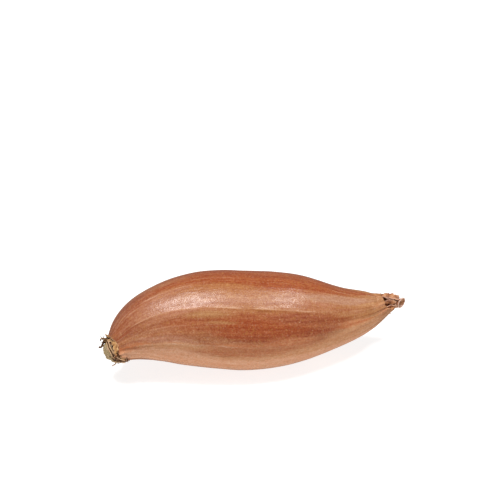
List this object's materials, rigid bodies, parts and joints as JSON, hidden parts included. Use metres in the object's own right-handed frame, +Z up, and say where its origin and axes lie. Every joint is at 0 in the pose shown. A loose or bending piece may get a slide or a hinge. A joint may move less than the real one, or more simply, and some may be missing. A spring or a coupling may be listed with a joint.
{
  "type": "shallot",
  "caption": "Whole dry banana shallot lying on its side, with coppery papery skin, a corky root end and a torn neck",
  "frame": {"origin": "middle of the underside of the whole part's box, on the surface that the shallot lies on", "axes": "+X runs along the shallot from the root end to the neck, +Z is up, +Y is the side away from the front view"},
  "size_m": [0.1036, 0.0354, 0.0322],
  "materials": {
    "dry_skin": "satin",
    "root_cork": "matte",
    "torn_scrap": "matte",
    "dry_root": "matte",
    "leaf_end": "matte"
  },
  "bodies": {
    "root": {"bulb": "dry_skin", "root_plate": "root_cork", "collar_scrap_1": "torn_scrap", "collar_scrap_2": "torn_scrap", "collar_scrap_3": "torn_scrap", "collar_scrap_4": "torn_scrap", "collar_scrap_5": "torn_scrap", "collar_scrap_6": "torn_scrap", "collar_scrap_7": "torn_scrap", "dry_root_1": "dry_root", "dry_root_2": "dry_root", "dry_root_3": "dry_root", "dry_root_4": "dry_root", "dry_root_5": "dry_root", "dry_root_6": "dry_root", "dry_root_7": "dry_root", "dry_root_8": "dry_root", "neck_leaf_top": "leaf_end", "neck_leaf_lower": "leaf_end", "neck_rolled_tip": "leaf_end", "neck_leaf_inner": "leaf_end", "neck_shred": "leaf_end"}
  },
  "joints": []
}
